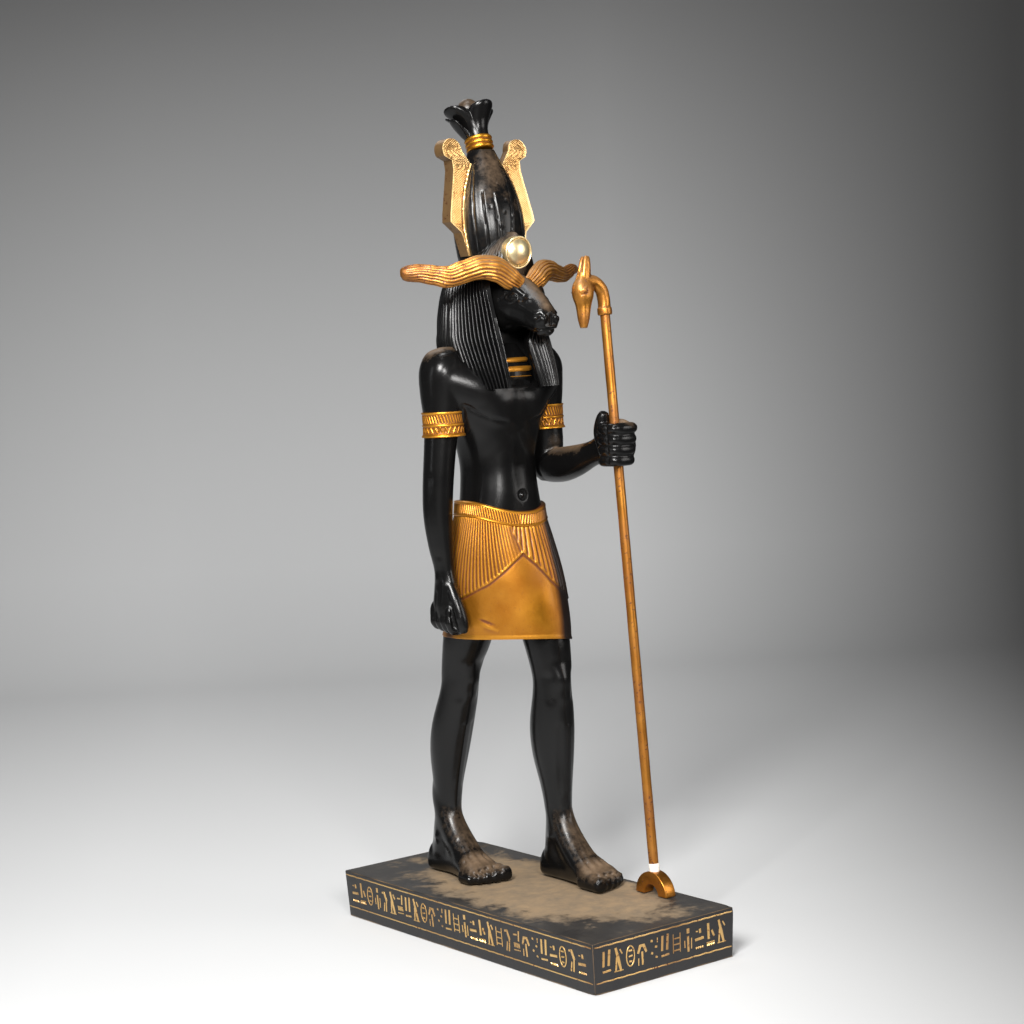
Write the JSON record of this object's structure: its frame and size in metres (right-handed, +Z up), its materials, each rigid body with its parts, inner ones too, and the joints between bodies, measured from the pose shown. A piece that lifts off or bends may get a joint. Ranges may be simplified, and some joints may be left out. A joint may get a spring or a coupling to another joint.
{
  "type": "khnum figurine",
  "caption": "Standing ram-headed Egyptian god in black and gold, with a pleated kilt, a tall plumed crown and a long sceptre, on an oblong plinth.",
  "frame": {"origin": "middle of the plinth's underside", "axes": "+Z up; the figure faces -Y, and its right hand is at -X"},
  "size_m": [0.1142, 0.215, 0.435],
  "materials": {
    "plinth_slate": "dark slate-grey cast resin, satin sides, dusty top",
    "figure_black": "satin near-black cast resin with brown dust rubbed in",
    "antique_gold": "antique gold paint with brown wash in the hollows",
    "red_gold": "reddish gold paint with dark specks"
  },
  "bodies": {
    "root": {"plinth": "plinth_slate", "figure": "figure_black", "sceptre_rod": "antique_gold", "sceptre_head": "red_gold", "sceptre_foot": "red_gold"}
  },
  "joints": []
}
